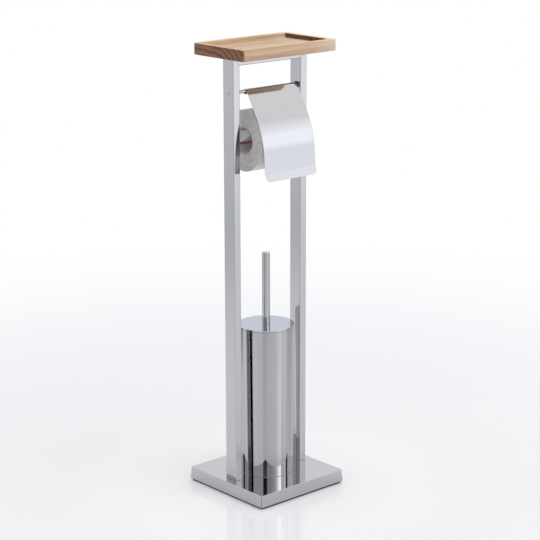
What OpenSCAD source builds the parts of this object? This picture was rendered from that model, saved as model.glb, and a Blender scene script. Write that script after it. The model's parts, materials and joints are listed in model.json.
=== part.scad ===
// Freestanding toilet roll holder: a weighted square base carries an upright frame of
// rectangular tube with a wooden tray on top, a hinged sheet-metal cover over the roll,
// a sprung spindle and a brush in a canister.
// Millimetres, +Z up. The origin is on the floor under the centre of the base.
// The posts stand at -X and +X, and the cover faces -Y.

/* [Base] */
// Width and depth of the square base across its top edges
base_w = 200; // [190:1:260]
// Height of the base cover's skirt
base_h = 22.7; // [18:0.1:40]
// How far the skirt leans out on each side from top to bottom
base_flare = 1.5; // [0:0.1:4]
// Radius of the base cover's upright corners
base_corner = 2; // [1:0.5:4]
// Sheet thickness of the base cover
base_sheet = 1.5; // [1:0.1:2]
// Gap between the ballast and the inside of the base cover
ballast_gap = 1; // [0.6:0.1:3]
// Depth of the pockets under the ballast
pocket_depth = 12; // [4:0.5:12]
// Thickness of the ballast's outer wall
pocket_wall = 10; // [6:0.5:20]
// Width of the ballast's rib that runs from front to back
rib_w = 18; // [14:1:30]
// Width of the ballast's rib that carries the post bolts
bolt_rib_w = 30; // [28:1:40]
// Thickness of the rubber pad under the base
pad_t = 3; // [2:0.5:6]
// How far the pad stays inside the foot of the skirt
pad_inset = 7.5; // [3:0.5:20]
// Radius of the pad's corners
pad_corner = 6; // [2:1:15]

/* [Frame] */
// Width of the upright frame over both posts
frame_w = 174; // [160:0.1:186]
// Height of the top of the frame above the floor
frame_top = 807; // [790:1:860]
// Width of the tube, seen from the front
post_w = 15.4; // [13:0.1:18]
// Depth of the tube, front to back
post_d = 28; // [26:0.5:40]
// Wall thickness of the tube
post_wall = 1.5; // [1:0.1:1.8]
// Radius along the tube's edges
post_edge = 1.2; // [0.6:0.1:1.4]
// Height of the threaded insert in each post's foot
insert_h = 26; // [18:1:40]
// Clearance between the insert and the tube
insert_gap = 0.1; // [0.05:0.05:0.3]

/* [Bolts and screws] */
// Shank diameter of the bolts in the base
bolt_d = 6; // [5:0.5:6]
// Head diameter of the bolts in the base
bolt_head_d = 10; // [9:0.5:11]
// Head height of the bolts in the base
bolt_head_h = 6; // [4:0.5:6]
// Distance between a post's two bolts
bolt_pitch = 13; // [12.5:0.5:14]
// How far the bolts reach into the inserts
bolt_reach = 18; // [10:1:18]
// Width across flats of the bolts' sockets
socket_w = 5; // [4:0.5:5]
// Clearance around every screw and bolt shank
screw_gap = 0.05; // [0.03:0.01:0.1]
// Shank diameter of the tray and rod screws
screw_d = 4; // [3.5:0.5:4]
// Head diameter of the tray and rod screws
screw_head_d = 7.6; // [7:0.2:8]
// Height of the tray screws' heads
screw_head_h = 2.4; // [2:0.2:3]
// Length of the tray screws under their heads
tray_screw_l = 10; // [6:1:11]
// Distance between the two tray screws
tray_screw_pitch = 110; // [60:1:120]
// Length of the rod screws
rod_screw_l = 11; // [8:1:14]

/* [Tray] */
// Width of the tray
tray_w = 221; // [200:1:260]
// Depth of the tray, front to back
tray_d = 135.5; // [110:1:180]
// Height of the tray
tray_h = 20.4; // [18:0.1:30]
// Width of the tray's raised rim
tray_rim = 12; // [8:0.5:20]
// Depth of the tray's recess
tray_recess = 8.5; // [5:0.5:9]
// Radius of the tray's outer corners
tray_corner = 8; // [4:0.5:14]
// Radius of the recess's corners
recess_corner = 5; // [2:0.5:10]
// Radius along the tray's edges
tray_edge = 1.6; // [0.5:0.1:3]

/* [Rod and cover] */
// Distance from the top of the frame down to the hinge rod's axis
rod_drop = 63.4; // [50:0.1:72]
// How far the rod's axis sits in front of the frame's middle plane
rod_front = 2.5; // [0:0.5:4]
// Diameter of the hinge rod
rod_d = 6; // [5:0.5:7]
// Radial clearance of the rod in the posts' walls
rod_gap = 0.05; // [0.03:0.01:0.2]
// Diameter of the plastic washers at the rod's ends
washer_d = 11; // [9:0.5:13]
// Thickness of the plastic washers
washer_t = 1.2; // [0.8:0.1:2]
// Width of the cover
cover_w = 120; // [100:1:122]
// Side play left between the cover and the right washer
cover_play = 0.4; // [0.2:0.1:2]
// Sheet thickness of the cover
cover_t = 0.8; // [0.6:0.1:1]
// Inner radius of the curl that hangs on the rod
curl_r = 4; // [3.9:0.1:5]
// Gap between the top of the rod and the curl that hangs on it
curl_seat = 0.2; // [0.1:0.05:0.3]
// Part of a turn that the curl covers, in degrees
curl_sweep = 290; // [240:5:300]
// Length of the cover's flat stretch below the curl
cover_flat = 51.3; // [40:0.1:60]
// Outer radius of the cover's curved stretch
cover_r = 158.3; // [140:0.1:200]
// Angle through which the curved stretch turns, in degrees
cover_sweep = 26; // [22:0.5:34]
// Length of the flat stretch between the curve and the lip
cover_skirt = 31; // [20:0.5:45]
// Length of the cover's lip
lip_l = 13.5; // [11:0.5:20]
// Angle by which the lip bends forward, in degrees
lip_bend = 18; // [5:1:40]
// Inner radius of the bend above the lip
lip_radius = 2; // [1:0.5:5]
// Radius of the lip's lower corners
lip_corner = 10; // [4:0.5:10.5]
// Gap between the roll and the cover that rests on it
cover_rest = 0.3; // [0.3:0.1:2]

/* [Roll] */
// Diameter of the paper roll
roll_d = 111; // [95:1:118]
// Width of the paper roll
roll_w = 100; // [90:1:110]
// Place of the roll's middle along the spindle
roll_x = 4.5; // [-8:0.5:8]
// How far the cover pushes the roll's axis back from the spindle's
roll_back = 8; // [4:0.5:12]
// Inner diameter of the roll's cardboard core
core_d = 48; // [44:0.5:52]
// Wall thickness of the cardboard core
core_t = 1; // [0.6:0.1:1.5]
// Clearance between the core and the paper round it
core_gap = 0.05; // [0.03:0.01:0.2]
// Radius along the paper roll's edges
roll_edge = 1.5; // [0.5:0.1:3]

/* [Spindle] */
// Distance from the hinge rod's axis down to the spindle's
spindle_drop = 79.6; // [72:0.1:92]
// Outer diameter of the spindle's barrel
spindle_d = 21; // [18:0.5:22]
// Wall thickness of the barrel and of the plunger
spindle_wall = 1.2; // [0.8:0.1:1.5]
// Length of the barrel
barrel_l = 92; // [80:1:100]
// Length of the plunger tube
plunger_l = 92; // [80:1:94]
// Running clearance between the plunger and the barrel
plunger_gap = 0.15; // [0.1:0.05:0.3]
// Thickness of the spindle's end walls
end_wall = 2; // [1.5:0.1:3]
// Gap between the spindle's ends and the posts
end_gap = 0.4; // [0.3:0.1:2]
// Diameter of the pins at the spindle's ends
pin_d = 6; // [5:0.5:7]
// Length of the pins
pin_l = 6; // [4:0.5:6.5]
// Radial clearance of the pins in the posts
pin_gap = 0.1; // [0.05:0.05:0.3]
// Travel of the plunger
plunger_travel = 7.5; // [7:0.5:9]
// Gap between the roll's core and the spindle it hangs on
core_seat = 0.25; // [0.15:0.05:0.4]
// Outer diameter of the spring
spring_d = 14; // [10:0.5:15]
// Diameter of the spring's wire
spring_wire = 1.4; // [1:0.1:1.6]
// Number of turns of the spring
spring_turns = 12; // [8:1:14]
// Gap between the spring's ends and their seats
spring_seat = 0.1; // [0.05:0.05:0.3]

/* [Canister] */
// Outer diameter of the canister at its top
can_d = 104; // [96:1:112]
// Outer diameter of the canister at its foot
can_foot_d = 100; // [94:1:104]
// Height of the lid's top above the base
can_h = 283.3; // [260:0.1:320]
// Wall thickness of the canister
can_wall = 1; // [0.8:0.1:1.5]
// Height of the lid's rim
lid_rim = 3.5; // [2.5:0.1:6]
// Thickness of the lid's top
lid_t = 1.2; // [1:0.1:2]
// Depth of the ring that centres the lid in the canister
lid_ring = 6; // [4:0.5:10]
// Clearance between that ring and the canister
lid_gap = 0.4; // [0.3:0.05:1]
// Wall thickness of the drip liner
liner_wall = 1.6; // [1.2:0.1:2.5]
// Gap between the liner and the canister
liner_gap = 0.8; // [0.5:0.1:2]
// Distance from the liner's mouth up to the lid's ring
liner_drop = 3; // [1:0.5:20]
// Height of the liner's floor above its foot ring's foot
liner_floor = 9; // [8:0.5:15]
// Outer diameter of the liner's foot ring
foot_ring_d = 70; // [40:1:84]
// Height of the nut in the canister's floor
nut_h = 5; // [4:0.5:5]

/* [Brush] */
// Diameter of the brush handle
handle_d = 14.5; // [11:0.1:16]
// Height of the handle above the lid
handle_h = 134.7; // [110:0.1:140]
// Height of the chamfer at the handle's top
handle_chamfer = 0.8; // [0.4:0.1:2]
// Diameter of the stem under the lid
stem_d = 8; // [6:0.5:9]
// Diameter of the stem's thread, in the lid and the handle
thread_d = 5; // [4:0.5:5.5]
// How far the thread reaches into the handle
thread_l = 20; // [12:1:30]
// Diameter of the stem's shoulder under the lid
shoulder_d = 18; // [14:1:22]
// Thickness of the stem's shoulder
shoulder_t = 3; // [2:0.5:5]
// Diameter of the brush head's core
hub_d = 22; // [18:1:26]
// Length of the brush head's core
hub_l = 78; // [60:1:90]
// How far the stem reaches into the brush head
hub_socket = 30; // [20:1:40]
// Diameter over the tufts
brush_d = 78; // [64:1:82]
// Diameter of a tuft
tuft_d = 4.6; // [3:0.1:5]
// Rows of tufts
tuft_rows = 6; // [4:1:8]
// Tufts in a row
tuft_count = 10; // [6:1:11]
// Tufts that point down at the brush's end
tuft_end_count = 6; // [3:1:7]
// Distance from the tufts down to the liner's floor
brush_clear = 8; // [6:0.5:20]
// Thickness of the sleeve that holds the tufts
sleeve_t = 1.2; // [0.8:0.1:2]

/* [Hidden] */
$fn = 64;

// A margin by which a cutter passes the face that it opens
cut = 1;

// Heights of the base's layers
base_top = pad_t + base_h;
ballast_w = base_w - 2 * (base_sheet + ballast_gap);
ballast_top = base_top - base_sheet;
bolt_seat = pad_t + bolt_head_h + 0.5;

// Places across the frame
post_x = (frame_w - post_w) / 2;
inner_x = frame_w / 2 - post_w;
outer_x = frame_w / 2;
bar_z = frame_top - post_w / 2;
rod_z = frame_top - rod_drop;
spindle_z = rod_z - spindle_drop;

// The cover's pivot is the middle of its curl, which hangs on the rod
pivot_y = -rod_front;
pivot_z = rod_z - (curl_r - rod_d / 2 - curl_seat);
curl_out = curl_r + cover_t;
curl_ease = 0.02;
cover_right = inner_x - washer_t - cover_play;
cover_left = cover_right - cover_w;

// The roll hangs on the spindle, pushed back by the cover
core_r = core_d / 2;
roll_y = roll_back;
roll_z = spindle_z - sqrt(pow(core_r - spindle_d / 2 - core_seat, 2) - pow(roll_back, 2));

// The cover is drawn with its flat stretch at flat_tilt and then turned about its pivot
// until its curved stretch lies cover_rest in front of the roll.
flat_tilt = 60;
bend_y = -curl_out * sin(flat_tilt) - cover_flat * cos(flat_tilt) + cover_r * sin(flat_tilt);
bend_z = curl_out * cos(flat_tilt) - cover_flat * sin(flat_tilt) - cover_r * cos(flat_tilt);
bend_reach = norm([bend_y, bend_z]);
roll_reach = norm([roll_y - pivot_y, roll_z - pivot_z]);
bend_to_roll = cover_r - cover_t - roll_d / 2 - cover_rest;
bend_angle = acos(min(1, (pow(bend_reach, 2) + pow(roll_reach, 2) - pow(bend_to_roll, 2))
                         / (2 * bend_reach * roll_reach)));
roll_angle = atan2(roll_z - pivot_z, roll_y - pivot_y);
cover_turn = roll_angle + bend_angle - atan2(bend_z, bend_y);

// Places along the spindle
barrel_x = -inner_x + end_gap;
plunger_x = inner_x - end_gap;
plunger_r = spindle_d / 2 - spindle_wall - plunger_gap;
spring_x0 = barrel_x + end_wall + spring_seat;
spring_x1 = plunger_x - plunger_l - spring_seat;

// Heights of the canister and the brush
lid_top = base_top + can_h;
shell_top = lid_top - lid_rim;
function can_r(z) = (can_foot_d + (can_d - can_foot_d) * (z - base_top) / (shell_top - base_top)) / 2;
shell_floor = base_top + can_wall;
liner_foot = shell_floor;
liner_base = liner_foot + liner_floor;
liner_top = shell_top - lid_ring - liner_drop;
function liner_r(z) = can_r(z) - can_wall - liner_gap;
hub_bottom = liner_base + liner_wall + brush_clear + tuft_d + sleeve_t;
hub_top = hub_bottom + hub_l;
shoulder_z = lid_top - lid_t;

// A flat rectangle with round corners, centred on the origin
module round_rect(w, d, r) {
    square([w - 2 * r, d], center = true);
    square([w, d - 2 * r], center = true);
    for (x = [-1, 1], y = [-1, 1])
        translate([x * (w / 2 - r), y * (d / 2 - r)])
            circle(r);
}

// A cylinder along X from x0 to x1
module rod_x(x0, x1, r, y, z) {
    translate([x0, y, z])
        rotate([0, 90, 0])
            cylinder(h = x1 - x0, r = r);
}

// Base

function skirt_w(z) = base_w + 2 * base_flare * (1 - z / base_h);

// The flared block between two heights above the skirt's foot, drawn in by inset
module flared_block(z0, z1, inset) {
    w0 = skirt_w(z0) - 2 * inset;
    w1 = skirt_w(z1) - 2 * inset;
    translate([0, 0, pad_t + z0])
        linear_extrude(height = z1 - z0, scale = w1 / w0)
            round_rect(w0, w0, base_corner, $fn = 24);
}

// The places of the four post bolts
module at_post_bolts() {
    for (x = [-post_x, post_x], y = [-bolt_pitch / 2, bolt_pitch / 2])
        translate([x, y, 0])
            children();
}

module base_cover() {
    color("gainsboro")
        difference() {
            flared_block(0, base_h, 0);
            flared_block(-cut, base_h - base_sheet, base_sheet);
            at_post_bolts()
                cylinder(h = base_top + cut, d = bolt_d + 2 * screw_gap);
            cylinder(h = base_top + cut, d = bolt_d + 2 * screw_gap);
        }
}

module bolt_hole() {
    cylinder(h = base_top, d = bolt_d + 2 * screw_gap);
    cylinder(h = bolt_seat, d = bolt_head_d + 1);
}

module ballast_plate() {
    pocket_x = ballast_w / 2 - pocket_wall - rib_w / 2;
    pocket_y = ballast_w / 2 - pocket_wall - bolt_rib_w / 2;
    color("dimgray")
        difference() {
            translate([-ballast_w / 2, -ballast_w / 2, pad_t])
                cube([ballast_w, ballast_w, ballast_top - pad_t]);
            for (x = [-1, 1], y = [-1, 1])
                translate([x * (rib_w + pocket_x) / 2, y * (bolt_rib_w + pocket_y) / 2,
                           pad_t - cut])
                    linear_extrude(height = pocket_depth + cut)
                        round_rect(pocket_x, pocket_y, 6);
            at_post_bolts()
                bolt_hole();
            bolt_hole();
        }
}

module base_pad() {
    pad_w = skirt_w(0) - 2 * pad_inset;
    color("black")
        linear_extrude(height = pad_t)
            round_rect(pad_w, pad_w, pad_corner);
}

// A socket head bolt with its head seated in the ballast
module bolt(reach) {
    difference() {
        union() {
            translate([0, 0, bolt_seat - bolt_head_h])
                cylinder(h = bolt_head_h, d = bolt_head_d);
            translate([0, 0, bolt_seat])
                cylinder(h = base_top + reach - bolt_seat, d = bolt_d);
        }
        translate([0, 0, bolt_seat - bolt_head_h - cut])
            cylinder(h = bolt_head_h / 2 + cut, r = socket_w / sqrt(3), $fn = 6);
    }
}

module post_bolts() {
    color("silver")
        at_post_bolts()
            bolt(bolt_reach);
}

// Frame

module foot_insert() {
    w = post_w - 2 * (post_wall + insert_gap);
    d = post_d - 2 * (post_wall + insert_gap);
    difference() {
        translate([-w / 2, -d / 2, base_top])
            cube([w, d, insert_h]);
        for (y = [-bolt_pitch / 2, bolt_pitch / 2])
            translate([0, y, base_top - cut])
                cylinder(h = insert_h + 2 * cut, d = bolt_d + 2 * screw_gap);
    }
}

module left_foot_insert() {
    color("slategray")
        translate([-post_x, 0, 0])
            foot_insert();
}

module right_foot_insert() {
    color("slategray")
        translate([post_x, 0, 0])
            foot_insert();
}

module tube_profile() {
    difference() {
        round_rect(post_w, post_d, post_edge);
        square([post_w - 2 * post_wall, post_d - 2 * post_wall], center = true);
    }
}

// The wedge above the mitre of the left post
module mitre_wedge() {
    translate([0, post_d, 0])
        rotate([90, 0, 0])
            linear_extrude(height = 2 * post_d)
                polygon([[-outer_x - cut, frame_top + cut], [-inner_x + cut, frame_top + cut],
                         [-inner_x + cut, frame_top - post_w - cut]]);
}

// The left post, mitred at its top, with the holes for rod, screw and spindle pin
module post() {
    difference() {
        translate([-post_x, 0, base_top])
            linear_extrude(height = frame_top - base_top)
                tube_profile();
        mitre_wedge();
        rod_x(-inner_x - post_wall - cut, -inner_x + cut, rod_d / 2 + rod_gap, pivot_y, rod_z);
        rod_x(-outer_x - cut, -outer_x + post_wall + cut, screw_d / 2 + screw_gap,
              pivot_y, rod_z);
        translate([-outer_x, pivot_y, rod_z])
            rotate([0, 90, 0])
                cylinder(h = post_wall, r1 = screw_head_d / 2 + screw_gap,
                         r2 = screw_d / 2 + screw_gap);
        rod_x(-inner_x - post_wall - cut, -inner_x + cut, pin_d / 2 + pin_gap, 0, spindle_z);
    }
}

module left_post() {
    color("gainsboro")
        post();
}

module right_post() {
    color("gainsboro")
        mirror([1, 0, 0])
            post();
}

// The tube that joins the posts under the tray
module top_bar() {
    color("gainsboro")
        difference() {
            translate([-outer_x, 0, bar_z])
                rotate([0, 90, 0])
                    linear_extrude(height = frame_w)
                        tube_profile();
            for (side = [0, 1])
                mirror([side, 0, 0])
                    difference() {
                        translate([-outer_x - cut, -post_d, frame_top - post_w - cut])
                            cube([post_w + cut, 2 * post_d, post_w + 2 * cut]);
                        mitre_wedge();
                    }
            for (x = [-tray_screw_pitch / 2, tray_screw_pitch / 2])
                translate([x, 0, 0]) {
                    translate([0, 0, frame_top - post_wall - cut])
                        cylinder(h = post_wall + 2 * cut, d = screw_d + 2 * screw_gap);
                    translate([0, 0, frame_top - post_w - cut])
                        cylinder(h = post_wall + 2 * cut, d = screw_head_d + 1);
                }
        }
}

// Tray

// A round corner post of the tray with rounded edges
module tray_corner_disc() {
    rotate_extrude($fn = 32) {
        square([tray_corner - tray_edge, tray_h]);
        translate([0, tray_edge])
            square([tray_corner, tray_h - 2 * tray_edge]);
        for (z = [tray_edge, tray_h - tray_edge])
            translate([tray_corner - tray_edge, z])
                intersection() {
                    circle(tray_edge, $fn = 16);
                    square(tray_edge * 2 * [1, 2], center = true);
                }
    }
}

module tray() {
    color("burlywood")
        difference() {
            translate([0, 0, frame_top])
                hull()
                    for (x = [-1, 1], y = [-1, 1])
                        translate([x * (tray_w / 2 - tray_corner),
                                   y * (tray_d / 2 - tray_corner), 0])
                            tray_corner_disc();
            translate([0, 0, frame_top + tray_h - tray_recess])
                linear_extrude(height = tray_recess + cut)
                    round_rect(tray_w - 2 * tray_rim, tray_d - 2 * tray_rim, recess_corner);
            for (x = [-tray_screw_pitch / 2, tray_screw_pitch / 2])
                translate([x, 0, frame_top - cut])
                    cylinder(h = tray_screw_l - post_wall + 2 * cut, d = screw_d + 2 * screw_gap);
        }
}

module tray_screws() {
    color("silver")
        for (x = [-tray_screw_pitch / 2, tray_screw_pitch / 2])
            translate([x, 0, frame_top - post_wall - screw_head_h]) {
                cylinder(h = screw_head_h, d = screw_head_d);
                cylinder(h = screw_head_h + tray_screw_l, d = screw_d);
            }
}

// Rod and cover

module hinge_rod() {
    end_x = outer_x - post_wall;
    color("lightgray")
        difference() {
            rod_x(-end_x, end_x, rod_d / 2, pivot_y, rod_z);
            for (side = [0, 1])
                mirror([side, 0, 0])
                    rod_x(-end_x - cut, -end_x + rod_screw_l + cut, screw_d / 2 + screw_gap,
                          pivot_y, rod_z);
        }
}

module rod_screws() {
    color("silver")
        for (side = [0, 1])
            mirror([side, 0, 0]) {
                rod_x(-outer_x, -outer_x + rod_screw_l, screw_d / 2, pivot_y, rod_z);
                translate([-outer_x, pivot_y, rod_z])
                    rotate([0, 90, 0])
                        cylinder(h = post_wall, d1 = screw_head_d, d2 = screw_d);
            }
}

module rod_washers() {
    color("black")
        for (side = [0, 1])
            mirror([side, 0, 0])
                difference() {
                    rod_x(-inner_x, -inner_x + washer_t, washer_d / 2, pivot_y, rod_z);
                    rod_x(-inner_x - cut, -inner_x + washer_t + cut, rod_d / 2 + rod_gap,
                          pivot_y, rod_z);
                }
}

// Points on an arc about a centre, from angle a0 to a1 in equal steps
function arc_points(centre, r, a0, a1, steps) =
    [for (i = [0:steps]) let (a = a0 + (a1 - a0) * i / steps) centre + r * [cos(a), sin(a)]];

// One side of the cover's sheet, depth being how far it lies below the sheet's outer
// face: the curl, the flat stretch, the curve, the second flat stretch and the lip.
curl_end = 90 + flat_tilt;
bend_end = curl_end + cover_sweep;
lip_end = bend_end + 180 - lip_bend;
lip_centre = [bend_y, bend_z] + (cover_r + lip_radius) * [cos(bend_end), sin(bend_end)]
             + cover_skirt * [-sin(bend_end), cos(bend_end)];
function sheet_side(depth) = concat(
    arc_points([0, 0], curl_out - depth, curl_end - curl_sweep, curl_end, 29),
    arc_points([bend_y, bend_z], cover_r - depth, curl_end, bend_end, 26),
    arc_points(lip_centre, lip_radius + depth, bend_end + 180, lip_end, 6),
    [lip_centre + (lip_radius + depth) * [cos(lip_end), sin(lip_end)]
     + lip_l * [sin(lip_end), -cos(lip_end)]]);
function reversed(points) = [for (i = [len(points) - 1:-1:0]) points[i]];

// The cover's side view about its pivot, with x running back and y up
module cover_profile() {
    polygon(concat(sheet_side(0), reversed(sheet_side(cover_t))));
}

// What is cut from the lip to round its lower corner at x = 0, with z running down the lip
// from the start of the round and y through the sheet
module lip_corner_cut() {
    depth = 4 * lip_corner;
    difference() {
        translate([-cut, -depth / 2, 0])
            cube([lip_corner + cut, depth, lip_corner + cut]);
        translate([lip_corner, depth, 0])
            rotate([90, 0, 0])
                cylinder(h = 2 * depth, r = lip_corner);
    }
}

module cover() {
    color("whitesmoke")
        translate([cover_left, pivot_y, pivot_z])
            rotate([cover_turn, 0, 0])
                difference() {
                    rotate([90, 0, 90])
                        linear_extrude(height = cover_w)
                            cover_profile();
                    // The curl's bore is one round face about the pivot
                    rod_x(-cut, cover_w + cut, curl_r + curl_ease, 0, 0);
                    for (side = [0, 1])
                        translate([side * cover_w, bend_y, bend_z])
                            mirror([side, 0, 0])
                                rotate([bend_end, 0, 0])
                                    translate([0, cover_r + lip_radius, cover_skirt])
                                        rotate([-lip_bend, 0, 0])
                                            translate([0, -lip_radius, lip_l - lip_corner])
                                                lip_corner_cut();
                }
}

// Roll

module paper_roll() {
    inner = core_r + core_t + core_gap;
    color("ghostwhite")
        translate([roll_x - roll_w / 2, roll_y, roll_z])
            rotate([0, 90, 0])
                rotate_extrude() {
                    translate([inner, 0])
                        square([roll_d / 2 - roll_edge - inner, roll_w]);
                    translate([inner, roll_edge])
                        square([roll_d / 2 - inner, roll_w - 2 * roll_edge]);
                    for (x = [roll_edge, roll_w - roll_edge])
                        translate([roll_d / 2 - roll_edge, x])
                            circle(roll_edge);
                }
}

module roll_core() {
    color("peru")
        difference() {
            rod_x(roll_x - roll_w / 2, roll_x + roll_w / 2, core_r + core_t, roll_y, roll_z);
            rod_x(roll_x - roll_w / 2 - cut, roll_x + roll_w / 2 + cut, core_r, roll_y, roll_z);
        }
}

// Spindle

module spindle_barrel() {
    color("lightgray") {
        difference() {
            rod_x(barrel_x, barrel_x + barrel_l, spindle_d / 2, 0, spindle_z);
            rod_x(barrel_x + end_wall, barrel_x + barrel_l + cut, spindle_d / 2 - spindle_wall,
                  0, spindle_z);
        }
        rod_x(barrel_x - pin_l, barrel_x, pin_d / 2, 0, spindle_z);
    }
}

module spindle_plunger() {
    color("silver") {
        difference() {
            rod_x(plunger_x - plunger_l, plunger_x, plunger_r, 0, spindle_z);
            rod_x(plunger_x - plunger_l + end_wall, plunger_x - end_wall,
                  plunger_r - spindle_wall, 0, spindle_z);
        }
        rod_x(plunger_x, plunger_x + pin_l, pin_d / 2, 0, spindle_z);
    }
}

// Points and faces of a wire wound along X
wire_sides = 6;
wire_steps = 10;
function wire_centre(i) =
    let (a = 360 * i / wire_steps,
         span = spring_x1 - spring_x0 - spring_wire,
         x = spring_x0 + spring_wire / 2 + span * i / (spring_turns * wire_steps),
         r = (spring_d - spring_wire) / 2)
    [x, r * cos(a), spindle_z + r * sin(a)];
function wire_point(i, j) =
    let (a = 360 * i / wire_steps,
         b = 360 * j / wire_sides,
         w = spring_wire / 2)
    wire_centre(i) + w * [sin(b), cos(b) * cos(a), cos(b) * sin(a)];
wire_rings = spring_turns * wire_steps;
wire_points = [for (i = [0:wire_rings], j = [0:wire_sides - 1]) wire_point(i, j)];
wire_sleeve = [for (i = [0:wire_rings - 1], j = [0:wire_sides - 1], half = [0, 1])
    let (a = i * wire_sides + j,
         b = i * wire_sides + (j + 1) % wire_sides,
         c = a + wire_sides,
         d = b + wire_sides)
    half == 0 ? [a, b, d] : [a, d, c]];
wire_caps = [for (j = [1:wire_sides - 2], end = [0, 1])
    let (first = end * wire_rings * wire_sides)
    end == 0 ? [first, first + j + 1, first + j] : [first, first + j, first + j + 1]];

module spindle_spring() {
    color("dimgray")
        polyhedron(wire_points, concat(wire_sleeve, wire_caps));
}

// Canister

module canister_shell() {
    color("gainsboro")
        difference() {
            translate([0, 0, base_top])
                cylinder(h = shell_top - base_top, r1 = can_r(base_top), r2 = can_r(shell_top));
            translate([0, 0, shell_floor])
                cylinder(h = shell_top + cut - shell_floor, r1 = can_r(shell_floor) - can_wall,
                         r2 = can_r(shell_top + cut) - can_wall);
            cylinder(h = shell_floor + cut, d = bolt_d + 2 * screw_gap);
        }
}

module canister_screw() {
    color("silver")
        bolt(can_wall + nut_h);
}

module canister_nut() {
    color("silver")
        translate([0, 0, shell_floor])
            difference() {
                cylinder(h = nut_h, r = bolt_head_d / sqrt(3), $fn = 6);
                translate([0, 0, -cut])
                    cylinder(h = nut_h + 2 * cut, d = bolt_d + 2 * screw_gap);
            }
}

module canister_liner() {
    color("white")
        difference() {
            union() {
                translate([0, 0, liner_base])
                    cylinder(h = liner_top - liner_base, r1 = liner_r(liner_base),
                             r2 = liner_r(liner_top));
                translate([0, 0, liner_foot])
                    cylinder(h = liner_floor + cut, d = foot_ring_d);
            }
            translate([0, 0, liner_base + liner_wall])
                cylinder(h = liner_top + cut - liner_base - liner_wall,
                         r1 = liner_r(liner_base + liner_wall) - liner_wall,
                         r2 = liner_r(liner_top + cut) - liner_wall);
            translate([0, 0, liner_foot - cut])
                cylinder(h = liner_floor + cut, d = foot_ring_d - 2 * liner_wall);
        }
}

// Brush

module brush_handle() {
    r = handle_d / 2;
    color("lightgray")
        difference() {
            translate([0, 0, lid_top])
                rotate_extrude()
                    polygon([[0, 0], [r, 0], [r, handle_h - handle_chamfer],
                             [r - handle_chamfer, handle_h], [0, handle_h]]);
            translate([0, 0, lid_top - cut])
                cylinder(h = thread_l + 2 * cut, d = thread_d + 2 * screw_gap);
        }
}

module brush_lid() {
    ring_r = can_r(shell_top - lid_ring) - can_wall - lid_gap;
    color("whitesmoke")
        difference() {
            union() {
                translate([0, 0, shell_top])
                    cylinder(h = lid_rim, r = can_r(shell_top));
                translate([0, 0, shell_top - lid_ring])
                    cylinder(h = lid_ring + cut, r = ring_r);
            }
            translate([0, 0, shell_top - lid_ring - cut])
                cylinder(h = lid_ring + lid_rim - lid_t + cut, r = ring_r - can_wall);
            translate([0, 0, lid_top - lid_t - cut])
                cylinder(h = lid_t + 2 * cut, d = thread_d + 2 * screw_gap);
        }
}

module brush_stem() {
    color("lightgray") {
        translate([0, 0, hub_top - hub_socket])
            cylinder(h = shoulder_z - hub_top + hub_socket, d = stem_d);
        translate([0, 0, shoulder_z - shoulder_t])
            cylinder(h = shoulder_t, d = shoulder_d);
        translate([0, 0, shoulder_z])
            cylinder(h = lid_t + thread_l, d = thread_d);
    }
}

module brush_hub() {
    neck = hub_d / 4;
    color("white")
        difference() {
            union() {
                translate([0, 0, hub_bottom])
                    cylinder(h = hub_l - neck, d = hub_d);
                translate([0, 0, hub_top - neck])
                    cylinder(h = neck, r1 = hub_d / 2, r2 = hub_d / 2 - neck / 2);
            }
            translate([0, 0, hub_top - hub_socket])
                cylinder(h = hub_socket + cut, d = stem_d + 2 * screw_gap);
        }
}

// Tufts stand in rows round a thin sleeve on the hub, each row turned by half a step,
// and one ring of tufts points down.
module brush_tufts() {
    sleeve_r = hub_d / 2 + screw_gap;
    sleeve_h = hub_l - hub_d / 4;
    root_r = sleeve_r + sleeve_t / 2;
    row_pitch = (sleeve_h - 2 * tuft_d) / (tuft_rows - 1);
    color("white") {
        difference() {
            translate([0, 0, hub_bottom - sleeve_t])
                cylinder(h = sleeve_h + sleeve_t, r = sleeve_r + sleeve_t);
            translate([0, 0, hub_bottom])
                cylinder(h = sleeve_h + cut, r = sleeve_r);
        }
        for (row = [0:tuft_rows - 1], i = [0:tuft_count - 1])
            translate([0, 0, hub_bottom + tuft_d + row * row_pitch])
                rotate([0, 90, (i + row % 2 / 2) * 360 / tuft_count])
                    translate([0, 0, root_r])
                        cylinder(h = brush_d / 2 - root_r, d = tuft_d);
        for (i = [0:tuft_end_count - 1])
            rotate([0, 0, i * 360 / tuft_end_count])
                translate([hub_d / 3, 0, hub_bottom - sleeve_t - tuft_d])
                    cylinder(h = tuft_d + sleeve_t / 2, d = tuft_d);
    }
}

base_cover();
ballast_plate();
base_pad();
post_bolts();
left_foot_insert();
right_foot_insert();
left_post();
right_post();
top_bar();
tray();
tray_screws();
hinge_rod();
rod_screws();
rod_washers();
cover();
paper_roll();
roll_core();
spindle_barrel();
spindle_plunger();
spindle_spring();
canister_shell();
canister_screw();
canister_nut();
canister_liner();
brush_handle();
brush_lid();
brush_stem();
brush_hub();
brush_tufts();
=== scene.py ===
"""A freestanding toilet roll holder of polished metal with a wooden tray, a hinged cover,
a sprung spindle and a brush in a canister. Everything is in metres, in the row frame:
+Z up, the posts at -X and +X, the cover towards -Y, the origin on the floor."""

import json
import math
import random

import bpy
from mathutils import Matrix, Vector


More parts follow.
